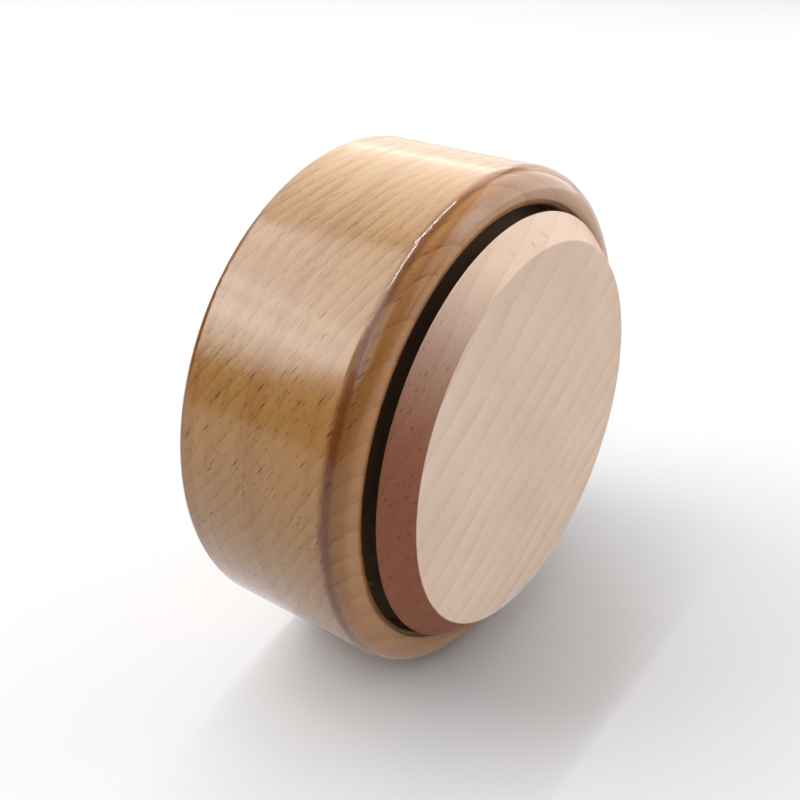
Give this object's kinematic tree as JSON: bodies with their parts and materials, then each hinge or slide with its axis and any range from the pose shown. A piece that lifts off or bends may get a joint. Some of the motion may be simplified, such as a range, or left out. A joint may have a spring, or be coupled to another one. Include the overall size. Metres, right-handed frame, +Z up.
{
  "type": "music box",
  "caption": "Round turned wooden music box, wound by twisting the tapered disc at its open end; a pinned-cylinder movement with comb and governor sits inside.",
  "frame": {"origin": "on the surface the box lies on, under the middle of its length", "axes": "+Z up, the turning axis along Y, the winding disc towards -Y and the closed back towards +Y"},
  "size_m": [0.105, 0.0466, 0.105],
  "materials": {
    "lacquered_beech": "clear gloss lacquer over turned beech",
    "raw_beech": "sanded bare beech",
    "birch_plywood": "bare plywood",
    "felt": "pressed felt",
    "plated_steel": "zinc plated",
    "dark_steel": "oiled black",
    "steel": "bright",
    "spring_steel": "blued strip",
    "comb_steel": "ground and polished",
    "brass": "turned",
    "die_cast_zinc": "as cast",
    "nylon": "moulded"
  },
  "bodies": {
    "case": {"case_shell": "lacquered_beech", "movement_board": "birch_plywood", "board_screws": "plated_steel", "felt_washer": "felt", "bedplate": "die_cast_zinc", "movement_screws": "plated_steel", "arbor_bush": "brass", "spring_housing": "steel", "housing_screws": "plated_steel", "mainspring": "spring_steel", "comb": "comb_steel", "comb_screws": "plated_steel", "cylinder_bracket": "steel", "bracket_screws": "plated_steel", "governor_frame": "steel", "governor_screws": "plated_steel"},
    "winder": {"winding_disc": "raw_beech", "disc_hub": "steel", "hub_screws": "plated_steel", "hub_grub_screw": "dark_steel", "arbor": "steel", "ratchet_wheel": "steel", "arbor_ring": "dark_steel"},
    "great_wheel_set": {"great_wheel": "brass", "click": "dark_steel", "click_pins": "steel", "click_spring": "dark_steel"},
    "cylinder_set": {"music_cylinder": "brass", "cylinder_caps": "brass", "cylinder_shaft": "steel", "cylinder_pinion": "brass", "cylinder_gear": "brass"},
    "governor_wheel_set": {"governor_wheel": "nylon", "governor_pinion": "brass", "governor_shaft": "steel"},
    "worm_set": {"governor_worm": "steel", "air_brake": "nylon"}
  },
  "joints": [
    {"name": "disc_turn", "type": "hinge", "parent": "case", "child": "winder", "pos_m": [0, 0, 0.0525], "axis": [0, 1, 0], "range_deg": [0, 1260], "deforming": ["mainspring"]},
    {"name": "great_wheel_turn", "type": "hinge", "parent": "case", "child": "great_wheel_set", "pos_m": [0, 0, 0.0525], "axis": [0, 1, 0], "continuous": true},
    {"name": "cylinder_turn", "type": "hinge", "parent": "case", "child": "cylinder_set", "pos_m": [-0.00616, 0.00859, 0.03013], "axis": [-0.2656, 0, -0.9641], "continuous": true},
    {"name": "governor_wheel_turn", "type": "hinge", "parent": "case", "child": "governor_wheel_set", "pos_m": [-0.01712, 0.00531, 0.02433], "axis": [-0.2656, 0, -0.9641], "continuous": true},
    {"name": "worm_turn", "type": "hinge", "parent": "case", "child": "worm_set", "pos_m": [-0.02184, 0.00531, 0.02564], "axis": [0, 1, 0], "continuous": true}
  ],
  "couplings": [
    {"joint": "great_wheel_turn", "follows": "disc_turn", "ratio": 1},
    {"joint": "cylinder_turn", "follows": "disc_turn", "ratio": 3},
    {"joint": "governor_wheel_turn", "follows": "disc_turn", "ratio": -15},
    {"joint": "worm_turn", "follows": "disc_turn", "ratio": 300}
  ]
}
